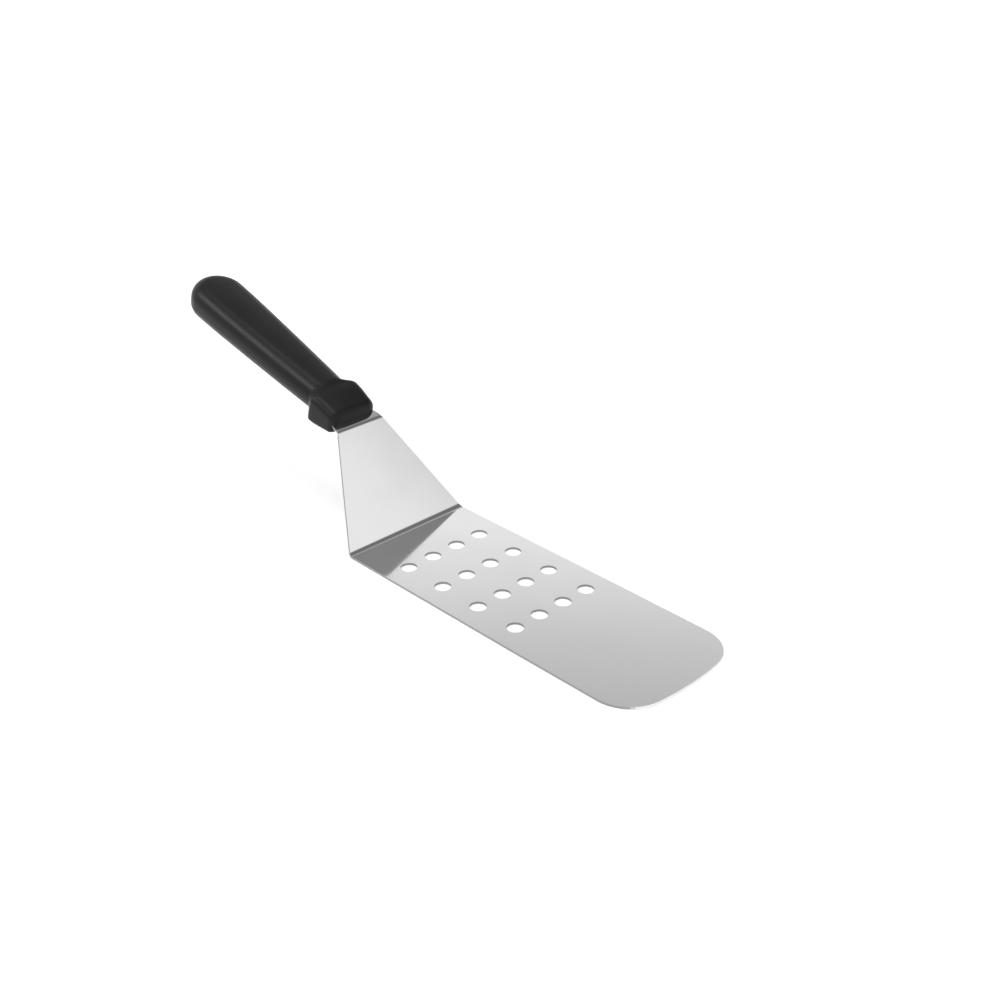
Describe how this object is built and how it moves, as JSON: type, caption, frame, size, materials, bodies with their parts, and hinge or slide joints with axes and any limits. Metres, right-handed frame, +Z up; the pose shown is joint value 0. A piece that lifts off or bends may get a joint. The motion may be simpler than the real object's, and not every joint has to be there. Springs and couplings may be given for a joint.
{
  "type": "grill spatula",
  "caption": "Offset grill spatula: flat perforated stainless blade with a rounded tip, a raised tapering neck and a black moulded plastic handle with a guard.",
  "frame": {"origin": "middle of the blade's flat underside, the face the spatula rests on", "axes": "+X towards the blade's tip, +Y across the blade, +Z up away from the surface it rests on"},
  "size_m": [0.3621, 0.076, 0.0977],
  "materials": {
    "steel": "satin, fine grain, nearly mirror-smooth",
    "polymer": "black moulded polypropylene, fine satin texture"
  },
  "bodies": {
    "root": {"blade": "steel", "handle": "polymer"}
  },
  "joints": []
}
